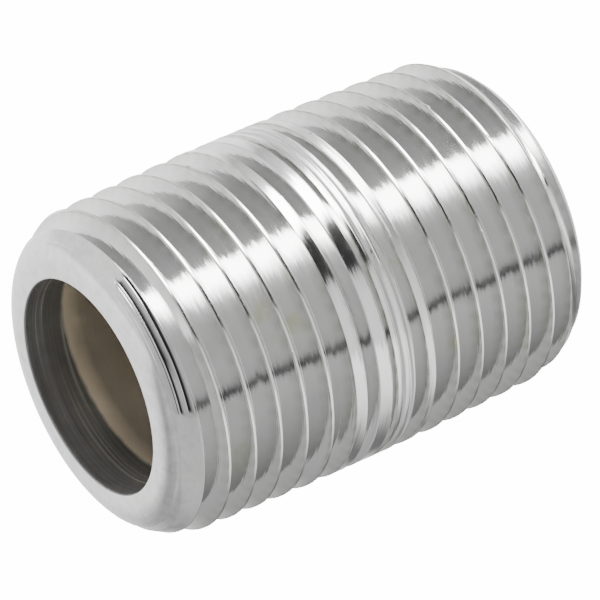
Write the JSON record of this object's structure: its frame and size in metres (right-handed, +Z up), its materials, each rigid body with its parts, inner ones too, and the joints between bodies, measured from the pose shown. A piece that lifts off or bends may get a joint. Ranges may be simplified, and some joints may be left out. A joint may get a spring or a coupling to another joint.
{
  "type": "close pipe nipple",
  "caption": "Short chrome-plated brass pipe nipple, tapered pipe thread cut from both ends to the middle, rounded noses and a plain through bore.",
  "frame": {"origin": "on the bore's axis at half of the length", "axes": "+X along the bore's axis towards the far end, +Z up with the nipple lying on its side"},
  "size_m": [0.0306, 0.0214, 0.0214],
  "materials": {
    "chrome_plate": "bright chromium plate over brass, bare brass deep in the bore"
  },
  "bodies": {
    "root": {"nipple_body": "chrome_plate"}
  },
  "joints": []
}
